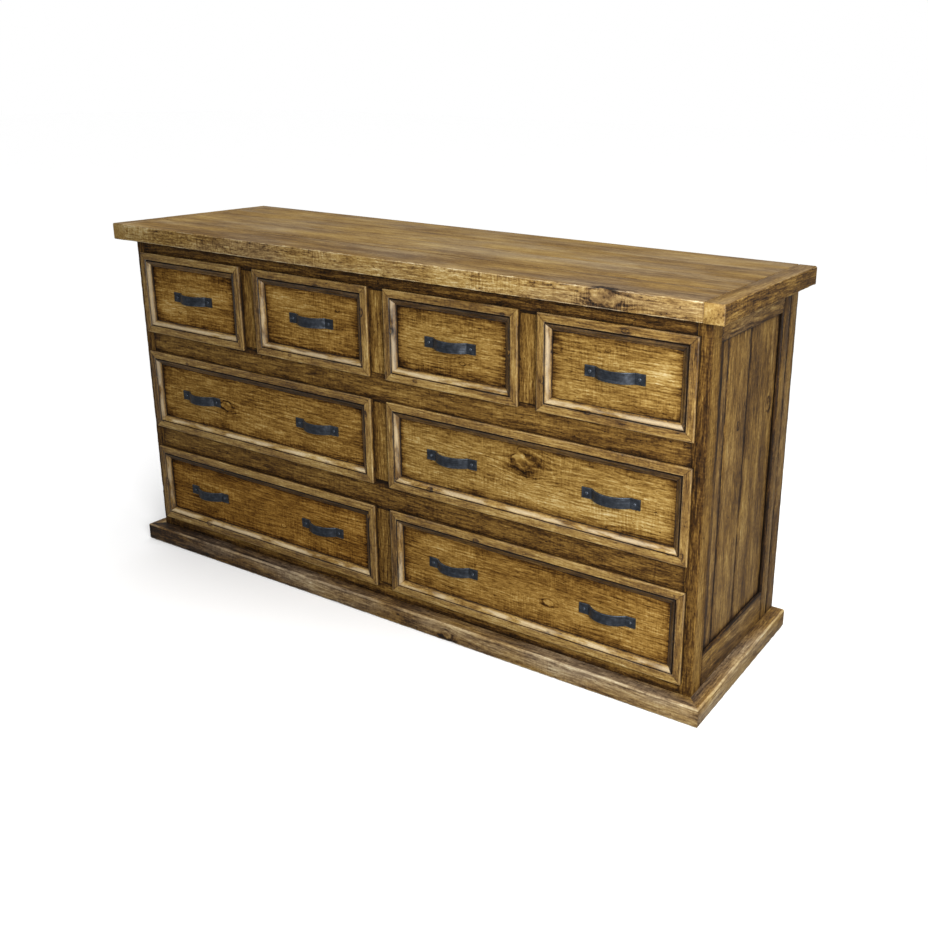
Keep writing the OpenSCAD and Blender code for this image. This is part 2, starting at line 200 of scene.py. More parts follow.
def outline(corners, radius, step=25 * MM):
    """Points round a section from its corners, anticlockwise. Convex corners are eased, long sides are
    divided, and each point says how much it is worn (1 on an eased corner) and how much it is darkened
    (1 in a nook, as painted shade, or the third number of a corner that has one)."""
    points = []
    n = len(corners)
    for i in range(n):
        p = np.array(corners[i][:2], float)
        before = np.array(corners[i - 1][:2], float) - p
        after = np.array(corners[(i + 1) % n][:2], float) - p
        len_before, len_after = np.linalg.norm(before), np.linalg.norm(after)
        before, after = before / len_before, after / len_after
        turn = before[1] * after[0] - before[0] * after[1]
        if len(corners[i]) > 2:
            points.append((*p, 0.0, corners[i][2]))
        elif turn <= 0:
            # a nook is darkened as painted shade
            points.append((*p, 0.0, 1.0))
        else:
            r = min(radius, EASED_SHARE * len_before, EASED_SHARE * len_after)
            support = min(SUPPORT, SUPPORT_SHARE * len_before, SUPPORT_SHARE * len_after)
            points.append((*(p + before * (r + support)), 0.0, 0.0))
            centre = p + before * r + after * r
            for k in range(ARC_STEPS + 1):
                a = math.pi / 2 * k / ARC_STEPS
                points.append((*(centre - after * r * math.cos(a) - before * r * math.sin(a)), 1.0, 0.0))
            points.append((*(p + after * (r + support)), 0.0, 0.0))
        q = np.array(corners[(i + 1) % n][:2], float)
        extra = int(np.linalg.norm(q - p) / step)
        for k in range(1, extra + 1):
            points.append((*(p + (q - p) * k / (extra + 1)), 0.0, 0.0))
    return np.array(points)


def rectangle(w, t):
    """Corners of a rectangle about the origin, w wide and t thick, anticlockwise."""
    return [(-w / 2, -t / 2), (w / 2, -t / 2), (w / 2, t / 2), (-w / 2, t / 2)]


def mirrored(shape):
    """A section's corners turned over, still anticlockwise."""
    return [(-a, *rest) for a, *rest in reversed(shape)]


def tube_faces(count, rings):
    """Quads between rings of points, and a cap on each end."""
    faces = []
    for r in range(rings - 1):
        for i in range(count):
            j = (i + 1) % count
            faces.append((r * count + i, r * count + j, (r + 1) * count + j, (r + 1) * count + i))
    faces.append(tuple(reversed(range(count))))
    faces.append(tuple(range((rings - 1) * count, rings * count)))
    return faces


def across_of(face, along):
    """Which way the first axis of a board's section points."""
    return (-OUT[face]).cross(OUT[along])


def rings_along(length, step, chamfer, end_dirt):
    """Where the rings of a board lie along it, measured from its middle."""
    spans = max(2, round(length / step))
    inner = np.linspace(-length / 2 + chamfer * 2, length / 2 - chamfer * 2, spans + 1)
    tips = [-length / 2, -length / 2 + chamfer, length / 2 - chamfer, length / 2]
    if end_dirt:
        tips += [-length / 2 + END_BAND, length / 2 - END_BAND]
    return np.sort(np.concatenate([tips, inner]))


def section_normals(a, b):
    """Which way is inwards at each point of a section."""
    ta = np.roll(a, -1) - np.roll(a, 1)
    tb = np.roll(b, -1) - np.roll(b, 1)
    size = np.maximum(np.hypot(ta, tb), 1e-9)
    return -tb / size, ta / size


def wear_depth(rng, section, places, length, ripple, wobble, nicks):
    """How far in each point is worn: a faint ripple all over, and a wobble and nicks on the eased edges."""
    a, b, worn, _ = section.T
    wave = noise_row(rng, LONG_WAVES)
    fine = noise_row(rng, SHORT_WAVES)
    index = np.arange(len(a)) / len(a)
    depth = ripple * (0.5 + 0.5 * wave(places, index))
    depth = depth + worn[None, :] * wobble * MM * np.clip(0.3 + fine(places, index * 3), 0, 1)
    for _ in range(nicks):
        at = rng.uniform(-length / 2, length / 2)
        side = rng.integers(0, len(a))
        width = rng.uniform(*NICK_WIDTH_MM) * MM
        deep = rng.uniform(*NICK_DEPTH_MM) * MM
        reach = np.hypot(a - a[side], b - b[side])
        dent = np.exp(-((places[:, None] - at) / width) ** 2) * np.exp(-(reach / NICK_REACH) ** 2)[None, :]
        depth = depth + deep * dent * worn[None, :]
    return depth


class Wood:
    """Gathers boards into one mesh, with the attributes that the wood material reads."""

    def __init__(self, seed):
        self.rng = np.random.default_rng(seed)
        self.verts = []
        self.faces = []
        self.rows = {"co": [], "half": [], "mark": [], "knot": [], "own": []}

    def add(self, verts, faces, co, mark, half=(0, 0, 0), knot=(0, 0, 0), own=(0, 0, 0)):
        base = sum(len(v) for v in self.verts)
        self.verts.append(verts)
        self.faces += [tuple(base + i for i in f) for f in faces]
        count = len(verts)
        self.rows["co"].append(co)
        self.rows["half"].append(np.tile(half, (count, 1)))
        self.rows["mark"].append(mark)
        self.rows["knot"].append(np.tile(knot, (count, 1)))
        self.rows["own"].append(np.tile(own, (count, 1)))

    def loft(self, centre, along, face, length, section, start=None, end=None, step=40 * MM,
             chamfer=1.0 * MM, seen=None, knot=(0, 0, 0), ripple=0.15 * MM, nicks=0, wobble=0.5,
             end_dirt=0.0, shift=0.0, lift=0.0, warm=0.0, dull=(0.0, 0.0)):
        """Draws a section along the grain. The section's first axis lies across the seen face, its second
        runs inwards from it. start and end give how far each end is cut back at a section point. seen is
        half the size of what shows of the board and shift how far across its middle lies. lift makes the
        whole board lighter, warm makes it redder, and the last argument, a pair, darkens it from one end to
        the other: painted shade where less light reaches that end."""
        inward = -OUT[face]
        grain = OUT[along]
        across = across_of(face, along)
        a, b, worn, dirty = section.T
        half_a, half_b = (a.max() - a.min()) / 2, (b.max() - b.min()) / 2
        places = rings_along(length, step, chamfer, end_dirt)
        inset = np.zeros(len(places))
        inset[0] = inset[-1] = chamfer
        na, nb = section_normals(a, b)
        depth = wear_depth(self.rng, section, places, length, ripple, wobble, nicks)
        aa = a[None, :] * (1 - inset[:, None] / half_a) + na[None, :] * depth
        bb = b[None, :] * (1 - inset[:, None] / half_b) + nb[None, :] * depth
        way = places / length + 0.5
        low = -length / 2 + (start(a, b)[None, :] if start else 0.0)
        high = length / 2 - (end(a, b)[None, :] if end else 0.0)
        ll = low + way[:, None] * (high - low) + 0 * aa
        count, rings = len(a), len(places)
        co = np.stack([ll, aa, bb], -1).reshape(-1, 3)
        basis = np.array([grain, across, inward])
        verts = co @ basis + np.array(centre)
        faces = tube_faces(count, rings)
        area = np.sum(a * np.roll(b, -1) - np.roll(a, -1) * b)
        if area * np.linalg.det(basis) < 0:
            faces = [tuple(reversed(f)) for f in faces]
        seen = (length / 2, half_a, half_b) if seen is None else seen
        mark = np.tile(np.stack([np.zeros(count), worn, dirty], -1), (rings, 1))
        mark[:, 0] = self.rng.uniform(0, 10)
        grime = np.where(np.abs(places) > length / 2 - END_FACE, end_dirt, 0.0)
        # the darkened mark: grime at the ends, and painted shade from the section and from the falloff along
        # the board
        mark[:, 2] += np.repeat(grime + dull[0] + (dull[1] - dull[0]) * way, count)
        self.add(verts, faces, co, mark, seen, knot, (shift, lift, warm))

    def board(self, low, high, along, face, radius=1.5 * MM, corners=None, step=40 * MM, **more):
        """A board that fills a CAD box. corners(width, thickness) gives a section other than a rectangle."""
        size = high - low
        centre = (low + high) / 2
        length = abs(size.dot(OUT[along]))
        width = abs(size.dot(across_of(face, along)))
        thickness = abs(size.dot(OUT[face]))
        shape = corners(width, thickness) if corners else rectangle(width, thickness)
        section = outline(shape, radius)
        self.loft(centre, along, face, length, section, step=step, **more)

    def finish(self, name, node, material, skins=None):
        """The gathered boards as one piece that stands for a CAD node. skins gives other materials to the
        faces that look along a direction."""
        mesh = bpy.data.meshes.new(name)
        mesh.from_pydata(np.concatenate(self.verts).tolist(), [], self.faces)
        for key, rows in self.rows.items():
            attribute = mesh.attributes.new(key, "FLOAT_VECTOR", "POINT")
            attribute.data.foreach_set("vector", np.concatenate(rows).astype(np.float32).ravel())
        mesh.polygons.foreach_set("use_smooth", [True] * len(mesh.polygons))
        mesh.set_sharp_from_angle(angle=SHARP_ANGLE)
        piece = bpy.data.objects.new(name, mesh)
        bpy.context.scene.collection.objects.link(piece)
        mesh.materials.append(material)
        for number, (direction, skin) in enumerate((skins or {}).items(), 1):
            mesh.materials.append(skin)
            for polygon in mesh.polygons:
                if polygon.normal.dot(OUT[direction]) > SKIN_FACING:
                    polygon.material_index = number
        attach(piece, frame["nodes"][node]["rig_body"])
        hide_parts(node)
        return piece


def plain(node, along, face, material, slot, seed, **more):
    """A node whose solids are plain boards."""
    made = Wood(seed)
    for low, high in solids(node):
        made.board(low, high, along, face, **more)
    made.finish(node + "_pine", node, material)


# ---- materials ----


class Nodes:
    """Short calls for building a node tree."""

    def __init__(self, name):
        self.material = bpy.data.materials.new(name)
        self.material.use_nodes = True
        self.tree = self.material.node_tree
        self.tree.nodes.clear()

    def node(self, kind, inputs=None, **settings):
        made = self.tree.nodes.new(kind)
        for key, value in settings.items():
            setattr(made, key, value)
        for key, value in (inputs or {}).items():
            self.link(made.inputs[key], value)
        return made

    def link(self, socket, value):
        if isinstance(value, bpy.types.NodeSocket):
            self.tree.links.new(value, socket)
        else:
            socket.default_value = value

    def math(self, operation, a, b=0.0, c=0.0):
        made = self.node("ShaderNodeMath", operation=operation)
        for socket, value in zip(made.inputs, (a, b, c)):
            self.link(socket, value)
        return made.outputs[0]

    def add(self, a, b):
        return self.math("ADD", a, b)

    def sub(self, a, b):
        return self.math("SUBTRACT", a, b)

    def mul(self, a, b):
        return self.math("MULTIPLY", a, b)

    def total(self, first, *rest):
        """first plus each (value, weight)."""
        for value, weight in rest:
            first = self.math("MULTIPLY_ADD", value, weight, first)
        return first

    def vmath(self, operation, a, b=(0, 0, 0)):
        made = self.node("ShaderNodeVectorMath", operation=operation)
        self.link(made.inputs[0], a)
        self.link(made.inputs[1], b)
        return made.outputs[0]

    def combine(self, x, y, z):
        return self.node("ShaderNodeCombineXYZ", {0: x, 1: y, 2: z}).outputs[0]

    def separate(self, vector):
        return self.node("ShaderNodeSeparateXYZ", {0: vector}).outputs

    def attribute(self, name):
        return self.node("ShaderNodeAttribute", attribute_name=name).outputs["Vector"]

    def noise(self, vector, stretch, detail=3.0, rough=0.55):
        """Noise of about 0 to 1. stretch is how many cells there are in a metre along each axis."""
        scaled = self.vmath("MULTIPLY", vector, stretch)
        made = self.node("ShaderNodeTexNoise", {"Vector": scaled, "Scale": 1.0, "Detail": detail,
                                                "Roughness": rough})
        return made.outputs["Fac"]

    def wander(self, vector, stretch, detail=3.0, rough=0.55):
        """Noise about 0."""
        return self.sub(self.noise(vector, stretch, detail, rough), 0.5)

    def bell(self, value, centre, sharpness):
        """1 where a value is at the centre, falling smoothly to 0 on both sides."""
        off = self.sub(value, centre)
        return self.math("EXPONENT", self.mul(self.mul(off, off), -sharpness))

    def fade(self, distance, reach):
        """1 at no distance, falling off over the reach."""
        return self.math("EXPONENT", self.mul(self.math("DIVIDE", distance, reach), -1.0))

    def step(self, value, low, high):
        """0 below low and 1 above high, with a smooth way between. low may be the larger."""
        made = self.node("ShaderNodeMapRange", {0: value}, interpolation_type="SMOOTHSTEP")
        turned = low > high
        self.link(made.inputs[1], min(low, high))
        self.link(made.inputs[2], max(low, high))
        self.link(made.inputs[3], 1.0 if turned else 0.0)
        self.link(made.inputs[4], 0.0 if turned else 1.0)
        return made.outputs[0]

    def ramp(self, value, stops):
        made = self.node("ShaderNodeValToRGB", {0: value})
        elements = made.color_ramp.elements
        while len(elements) < len(stops):
            elements.new(0.5)
        for element, (place, colour) in zip(elements, stops):
            element.position = place
            element.color = (*colour, 1)
        return made.outputs[0]

    def mix(self, share, a, b):
        made = self.node("ShaderNodeMix", data_type="RGBA")
        self.link(made.inputs[0], share)
        for socket, value in ((made.inputs[6], a), (made.inputs[7], b)):
            self.link(socket, value if isinstance(value, bpy.types.NodeSocket) else (*value, 1))
        return made.outputs[2]

    def surface(self, colour, roughness, height, distance, **constants):
        bump = self.node("ShaderNodeBump", {"Height": height, "Distance": distance, "Strength": 1.0})
        shader = self.node("ShaderNodeBsdfPrincipled", {"Base Color": colour, "Roughness": roughness,
                                                        "Normal": bump.outputs[0]})
        for key, value in constants.items():
            shader.inputs[key].default_value = value
        out = self.node("ShaderNodeOutputMaterial")
        self.tree.links.new(shader.outputs[0], out.inputs[0])
        return self.material


STAIN = [
    (0.00, (0.010, 0.005, 0.002)),
    (0.22, (0.054, 0.024, 0.005)),
    (0.45, (0.166, 0.087, 0.018)),
    (0.68, (0.323, 0.198, 0.052)),
    (0.86, (0.462, 0.332, 0.130)),
    (1.00, (0.571, 0.462, 0.252)),
]
RAW = [
    (0.00, (0.138, 0.069, 0.023)),
    (0.30, (0.396, 0.244, 0.106)),
    (0.60, (0.607, 0.428, 0.221)),
    (1.00, (0.727, 0.561, 0.350)),
]
WARMTH = (1.0, 0.78, 0.45)
# a pale colour for rubbed arrises, which on the moulding slopes is painted sheen
DUST_AND_SHEEN = (0.60, 0.50, 0.34)


def board_point(n):
    """What a board's mesh attributes say at a point, and the point moved by the board's own seed."""
    w = SimpleNamespace()
    place = n.attribute("co")
    w.along, w.across, w.inward = n.separate(place)
    w.half = n.separate(n.attribute("half"))
    seed, w.wear, w.dirty = n.separate(n.attribute("mark"))
    w.knot_along, w.knot_across, w.knot_size = n.separate(n.attribute("knot"))
    w.shift, w.lift, w.warm = n.separate(n.attribute("own"))
    w.offset = n.combine(n.mul(seed, 7.13), n.mul(seed, 3.37), n.mul(seed, 5.91))
    w.p = n.vmath("ADD", place, w.offset)
    return w


def add_knot(n, w):
    """The board's own knot, on its seen side. t is the distance from it in its own radii, and bent is the
    place across the board that the grain has where it runs round the knot."""
    w.soft = n.wander(w.p, (28, 28, 28), 2.0)
    ragged = n.wander(w.p, (75, 75, 75), 3.0, 0.65)
    dx = n.mul(n.sub(w.along, w.knot_along), 0.58)
    dy = n.sub(w.across, w.knot_across)
    distance = n.math("SQRT", n.add(n.mul(dx, dx), n.mul(dy, dy)))
    radius = n.math("MAXIMUM", w.knot_size, 0.0001)
    w.t = n.total(n.math("DIVIDE", distance, radius), (w.soft, 1.1), (ragged, 0.9))
    depth = n.add(w.inward, w.half[2])
    w.has_knot = n.mul(n.step(w.knot_size, 0.0005, 0.002), n.step(depth, 0.035, 0.012))
    w.inside = n.mul(n.step(w.t, 1.12, 0.86), w.has_knot)
    w.below = n.mul(n.step(n.math("DIVIDE", dy, radius), 0.1, 0.8), w.has_knot)
    near = n.mul(n.bell(w.t, 0.0, 0.3), w.has_knot)
    w.bent = n.sub(w.across, n.mul(n.mul(dy, near), 0.8))


def add_grain(n, w):
    """Long streaks, long and short fibres and growth lines, all bent round the knot."""
    warp = n.wander(w.p, (2.2, 7, 7), 2.0)
    bent = n.total(w.bent, (warp, 0.02))
    w.g = n.vmath("ADD", n.combine(w.along, bent, w.inward), w.offset)
    w.streaks = n.wander(w.g, (1.8, 26, 26), 4.0, 0.6)
    long_fibres = n.wander(w.g, (22, 250, 250), 3.0, 0.65)
    short_fibres = n.wander(w.g, (120, 300, 300), 2.0, 0.6)
    w.fibres = n.total(n.mul(long_fibres, 0.78), (short_fibres, 0.36))
    lines = n.math("SINE", n.total(n.mul(bent, 560.0), (warp, 26.0), (w.inward, 260.0), (w.streaks, 9.0)))
    lines = n.math("POWER", n.add(n.mul(lines, 0.5), 0.5), 3.0)
    w.lines = n.mul(lines, n.step(n.noise(w.p, (3, 11, 11), 2.0), 0.40, 0.64))


def add_marks(n, w):
    """Cross saw marks, stain that took unevenly, clouds of dark dabs, dark specks and rubbed edges, which
    on the moulding slopes are painted sheen.
    """
    sway = n.vmath("ADD", w.p, n.combine(n.mul(w.soft, 0.008), 0.0, 0.0))
    kerfs = n.wander(sway, (260, 26, 26), 2.0, 0.6)
    w.kerfs = n.mul(kerfs, n.step(n.noise(w.p, (6, 14, 14), 2.0), 0.34, 0.62))
    w.blotches = n.wander(w.p, (4.6, 11, 11), 4.0, 0.6)
    w.dabs = n.mul(n.step(n.noise(w.p, (75, 170, 170), 3.0, 0.7), 0.46, 0.60),
                   n.step(n.noise(w.p, (7, 26, 26), 3.0, 0.6), 0.44, 0.58))
    w.specks = n.step(n.noise(w.p, (75, 170, 170), 2.0, 0.7), 0.64, 0.74)
    w.rub = n.mul(w.wear, n.step(n.noise(w.p, (12, 50, 50), 4.0), 0.38, 0.58))


def add_glaze_and_shade(n, w, glaze_and_shade_reach, worn):
    """Glaze and painted shade along the edges of what shows of the board, except where wear has made it
    paler.
    """
    edge_l = n.sub(w.half[0], n.math("ABSOLUTE", w.along))
    edge_a = n.sub(w.half[1], n.math("ABSOLUTE", n.sub(w.across, w.shift)))
    reach = n.mul(n.add(n.mul(n.noise(w.p, (16, 22, 22), 3.0), 2.2), -0.35), glaze_and_shade_reach)
    reach = n.math("MAXIMUM", reach, 0.002)
    # w.left is the glaze and painted shade, darkest at the edges where shade falls
    w.left = n.math("MINIMUM", n.add(n.fade(edge_l, reach), n.fade(edge_a, reach)), 1.4)
    if worn > 0:
        w.left = n.mul(w.left, n.sub(1.0, w.wear))


def draw_knot(n, w, shade, heart):
    """The knot over the shade of the grain: ringed heart with a black crack, dark rim, a painted shadow
    below it and a halo."""
    rings = n.math("SINE", n.total(n.mul(w.t, 11.0), (w.soft, 9.0)))
    core = n.total(heart, (rings, 0.06), (w.fibres, 1.2), (w.blotches, 1.0), (n.step(w.t, 0.5, 0.1), -0.12))
    w.crack = n.step(n.noise(w.g, (40, 90, 40), 3.0), 0.56, 0.64)
    core = n.total(core, (w.crack, -0.25))
    outside = n.sub(1.0, w.inside)
    shade = n.total(n.mul(shade, outside), (n.mul(core, w.inside), 1.0))
    rim = n.mul(n.bell(w.t, 1.0, 26.0), w.has_knot)
    w.rim = n.mul(rim, n.step(n.noise(w.p, (30, 45, 45), 2.0), 0.34, 0.56))
    # a painted shadow under the knot
    painted_shadow_below = n.mul(n.bell(w.t, 1.2, 9.0), w.below)
    halo = n.mul(n.mul(n.step(w.t, 2.6, 1.2), outside), w.has_knot)
    halo = n.mul(halo, n.step(n.noise(w.g, (9, 70, 70), 2.0), 0.42, 0.6))
    return n.total(shade, (w.rim, -0.3), (painted_shadow_below, -0.24), (halo, -0.16))


def wood(name, stops=STAIN, tone=0.5, streak=0.5, fibre=1.2, ring=0.12, saw=0.5, blotch=0.9, mottle=0.0,
         fleck=0.3, glaze_and_shade=0.3, glaze_and_shade_reach=14 * MM, worn=0.3, dust_and_sheen=0.0, grey=0.0, rough=0.5, bump=1.0,
         dirt=0.4, gloss=0.25, heart=0.36):
    """Stained and glazed pine, with painted shade along the edges of what shows and in its darkened
    marks, and painted sheen on pale rubbed slopes. tone is how light the wood is, and the other
    values say how strongly each kind of mark moves it."""
    n = Nodes(name)
    w = board_point(n)
    add_knot(n, w)
    add_grain(n, w)
    add_marks(n, w)
    add_glaze_and_shade(n, w, glaze_and_shade_reach, worn)
    # the shade takes glaze and painted shade at the edges, grime and painted shade from the darkened mark,
    # and wear with painted sheen
    shade = n.total(n.add(w.lift, tone), (w.streaks, streak), (w.fibres, fibre), (w.lines, -ring),
                    (w.kerfs, -saw), (w.blotches, blotch), (w.dabs, -mottle), (w.specks, -fleck),
                    (w.left, -glaze_and_shade), (w.dirty, -dirt), (w.rub, worn))
    shade = draw_knot(n, w, shade, heart)

    colour = n.ramp(n.math("MINIMUM", n.math("MAXIMUM", shade, 0.0), 1.0), stops)
    dulled = n.node("ShaderNodeHueSaturation", {"Color": colour, "Saturation": 0.6, "Value": 0.93})
    patches = n.mul(n.step(n.noise(w.p, (3, 12, 12), 3.0), 0.35, 0.7), grey)
    colour = n.mix(patches, colour, dulled.outputs[0])
    colour = n.mix(w.warm, colour, n.vmath("MULTIPLY", colour, WARMTH))
    # a pale colour on rubbed arrises, which on the moulding slopes is painted sheen
    colour = n.mix(n.mul(w.rub, dust_and_sheen), colour, DUST_AND_SHEEN)

    roughness = n.total(rough, (w.fibres, 0.3), (w.left, 0.06), (w.kerfs, 0.2), (w.wear, -0.08))
    height = n.total(0.5, (w.fibres, 0.8), (w.lines, 0.15), (w.kerfs, -1.2 * saw), (w.specks, -0.7),
                     (w.dabs, -mottle), (w.streaks, 0.5), (w.rim, -0.5), (n.mul(w.inside, w.crack), -0.7))
    return n.surface(colour, roughness, height, 0.35 * MM * bump, **{"Specular IOR Level": gloss})


def iron(name):
    """Hammered and blackened iron, rubbed lighter on its high spots."""
    n = Nodes(name)
    place = n.attribute("co")
    wear = n.separate(n.attribute("mark"))[1]
    mottle = n.noise(place, (90, 90, 90), 3.0)
    brush = n.noise(place, (30, 420, 420), 3.0)
    shade = n.total(0.38, (n.sub(mottle, 0.5), 1.1), (n.sub(brush, 0.5), 0.8), (wear, 0.3))
    colour = n.ramp(shade, [(0.0, (0.010, 0.012, 0.016)), (0.45, (0.030, 0.036, 0.046)),
                            (0.8, (0.075, 0.088, 0.108)), (1.0, (0.17, 0.19, 0.21))])
    roughness = n.total(0.42, (n.sub(mottle, 0.5), 0.4))
    return n.surface(colour, roughness, n.add(mottle, n.mul(brush, 0.3)), 0.25 * MM,
                     **{"Metallic": 0.55, "Specular IOR Level": 0.5})


FRAME_WOOD = wood("frame_looks", tone=0.49, streak=0.4, fibre=1.4, ring=0.08, saw=0.3, blotch=0.35,
                  glaze_and_shade=0.26, glaze_and_shade_reach=12 * MM, worn=0.0, bump=0.8, gloss=0.12)
PANEL_WOOD = wood("panel_looks", tone=0.585, streak=0.45, fibre=1.5, ring=0.14, saw=0.5, blotch=0.55,
                  glaze_and_shade=0.34, glaze_and_shade_reach=13 * MM, worn=0.0, heart=0.62, bump=0.6, rough=0.6,
                  gloss=0.05)
# the moulding's pale rubbed slopes are painted sheen, and its darkened groove, outer side and slopes painted
# shade
MOULDING_WOOD = wood("moulding_looks", tone=0.54, streak=0.5, fibre=1.4, ring=0.03, saw=0.3, blotch=0.8,
                     glaze_and_shade=0.12, glaze_and_shade_reach=4 * MM, worn=0.16, dust_and_sheen=0.6, dirt=0.5, rough=0.42, gloss=0.5)
# the top's grey patches are partly painted sheen
TOP_WOOD = wood("top_looks", tone=0.59, streak=0.6, fibre=0.8, ring=0.06, saw=0.1, blotch=0.5, fleck=0.02,
                glaze_and_shade=0.07, glaze_and_shade_reach=5 * MM, worn=0.0, grey=0.55, rough=0.6, bump=0.5, gloss=0.2)
# the pale rubbed top arris of the front edge is partly wear and partly painted highlight
EDGE_WOOD = wood("top_edge_looks", tone=0.65, streak=0.5, fibre=1.7, ring=0.06, saw=1.0, blotch=0.75,
                 mottle=0.18, fleck=0.3, glaze_and_shade=0.08, glaze_and_shade_reach=5 * MM, worn=0.25, dust_and_sheen=0.4, grey=0.3,
                 rough=0.6, bump=1.5, heart=0.66)
CAP_WOOD = wood("top_cap_looks", tone=0.68, streak=0.4, fibre=0.7, ring=0.0, saw=0.2, blotch=1.2, mottle=0.15,
                fleck=0.2, glaze_and_shade=0.15, glaze_and_shade_reach=4 * MM, worn=0.05, grey=0.1, rough=0.6, bump=1.5)
END_WOOD = wood("top_end_looks", tone=0.43, streak=0.7, fibre=1.4, ring=0.1, saw=0.4, blotch=1.0, mottle=0.1,
                glaze_and_shade=0.1, worn=0.12, rough=0.6, bump=1.6)
BASE_WOOD = wood("base_looks", tone=0.57, streak=0.9, fibre=1.4, ring=0.08, saw=0.3, blotch=0.9, mottle=0.05,
                 glaze_and_shade=0.14, worn=0.12, dust_and_sheen=0.15, grey=0.8)
SIDE_WOOD = wood("side_looks", tone=0.41, streak=0.7, fibre=1.5, ring=0.08, saw=0.1, blotch=0.7, glaze_and_shade=0.25,
                 glaze_and_shade_reach=6 * MM, worn=-0.35, grey=0.3)
PLANK_WOOD = wood("side_plank_looks", tone=0.44, streak=0.8, fibre=1.4, ring=0.1, saw=0.1, blotch=0.6,
                  glaze_and_shade=0.36, glaze_and_shade_reach=7 * MM, worn=-0.45, grey=0.1)
# near black for the walls in the nooks beside the side planks and under the side rails: painted shade
NOOK_PAINTED_SHADE = wood("nook_painted_shade", tone=0.16, streak=0.3, fibre=0.8, saw=0.1, blotch=0.5, glaze_and_shade=0.1, worn=0.0)
RAW_WOOD = wood("raw_looks", stops=RAW, tone=0.60, streak=0.8, fibre=0.7, ring=0.25, saw=0.2, blotch=0.6,
                fleck=0.1, glaze_and_shade=0.03, worn=0.05, rough=0.7, dirt=0.1)
IRON = iron("iron_looks")

# ---- the top ----


def build_top():
    planks = sorted(solids("top_planks"), key=lambda b: b[0].y)
    for number, (low, high) in enumerate(planks, 1):
        made = Wood(100 + number)
        if number == 1:
            # the front plank darkens a little towards its left end: painted shade where less light reaches
            made.board(low, high, "+x", "-y", radius=2.2 * MM, step=9 * MM, nicks=70, ripple=0.5 * MM,
                       knot=(650 * MM, -3 * MM, 19 * MM), wobble=1.0, dull=(0.05, -0.02))
            piece = made.finish(f"top_plank_{number}", "top_planks", TOP_WOOD, {"-y": EDGE_WOOD})
        else:
            made.board(low, high, "+x", "+z", radius=0.6 * MM, step=30 * MM, ripple=0.1 * MM, wobble=0.1)
            piece = made.finish(f"top_plank_{number}", "top_planks", TOP_WOOD)
    for name, (low, high), face in zip(("left", "right"), solids("top_end_boards"), ("-x", "+x")):
        made = Wood(110 + len(name))
        made.board(low, high, "+y", face, radius=2.2 * MM, step=9 * MM, nicks=30, ripple=0.4 * MM,
                   wobble=1.0)
        piece = made.finish(f"top_end_board_{name}", "top_end_boards", TOP_WOOD,
                            {face: END_WOOD, "-y": CAP_WOOD})


# ---- the base ----


def build_base():
    def mitre(a, b):
        """How far an end is cut back: nothing at the outer face, the board's width at the inner one."""
        return b - b.min()

    made = Wood(200)
    low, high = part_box("base_front")
    # the front board darkens towards its left end: painted shade where less light reaches
    made.board(low, high, "+x", "-y", radius=4 * MM, step=10 * MM, nicks=60,
               start=mitre, end=mitre, chamfer=MITRED_END, ripple=0.4 * MM, wobble=0.8,
               knot=((high.x - low.x) * 0.12, 4 * MM, 12 * MM), dull=(0.7, -0.1))
    made.finish("base_front_pine", "base_front", BASE_WOOD)
    for side, face in (("left", "-x"), ("right", "+x")):
        low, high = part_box(f"base_{side}")
        made = Wood(201 + len(side))
        made.board(low, high, "+y", face, radius=4 * MM, step=10 * MM, nicks=24,
                   start=mitre, chamfer=MITRED_END, ripple=0.4 * MM, wobble=0.8)
        made.finish(f"base_{side}_pine", f"base_{side}", BASE_WOOD)
    plain("base_back", "+x", "+y", BASE_WOOD, "base_pine", 205, step=60 * MM)


# ---- face frame, posts and sides ----


# each part of the face frame: seed, grain, how far beyond its ends the glaze and painted shade begin, how
# much lighter it is
FRAME_PARTS = {
    # the top rail's darker lift is painted shadow under the overhanging top
    "top_rail": (301, "+x", 0.0, -0.10),
    "upper_rail": (302, "+x", 0.0, -0.05),
    "lower_rail": (303, "+x", 0.0, -0.09),
    "bottom_rail": (304, "+x", 0.0, 0.0),
    "centre_stile": (311, "+z", 20 * MM, 0.0),
    "short_stiles": (312, "+z", 20 * MM, 0.0),
}


def build_face_frame():
    for node, (seed, along, beyond, lift) in FRAME_PARTS.items():
        made = Wood(seed)
        for low, high in solids(node):
            size = high - low
            length, width = (size.x, size.z) if along == "+x" else (size.z, size.x)
            # glaze and painted shade run along the edges that show beside the drawers' mouldings
            seen = (length / 2 + beyond, width / 2 - LAP, size.y / 2)
            made.board(low, high, along, "-y", step=20 * MM, radius=0.5 * MM, seen=seen, wobble=0.1,
                       lift=lift)
        made.finish(node + "_pine", node, FRAME_WOOD)


# a knot on each side plank, from the front: how far above the middle, how far behind it, and its half width
PLANK_KNOTS = ((-95 * MM, -25 * MM, 11 * MM), (140 * MM, 20 * MM, 6 * MM), (150 * MM, 46 * MM, 12 * MM))

# painted shade on the planks along the edges of the framed panel, the front post's painted shadow and
# the painted shade beside the rear stile: how far behind the edge, and how dark
FRONT_POST_PAINTED_SHADOW = ((-1 * MM, 1.0), (28 * MM, 0.9), (36 * MM, 0.0))
REAR_STILE_PAINTED_SHADE = ((-7 * MM, 0.0), (-3 * MM, 1.0), (1 * MM, 1.0))
LEAST_HIDDEN = 2 * MM


def plank_groove():
    """How far from the dresser's middle the side planks lie, and half the width of their groove."""
    low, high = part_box("side_planks_right")
    return (high.x + low.x) / 2, (high.x - low.x + GROOVE_PLAY) / 2


def whole(w, t, at, g):
    """A section with no groove."""
    return rectangle(w, t)


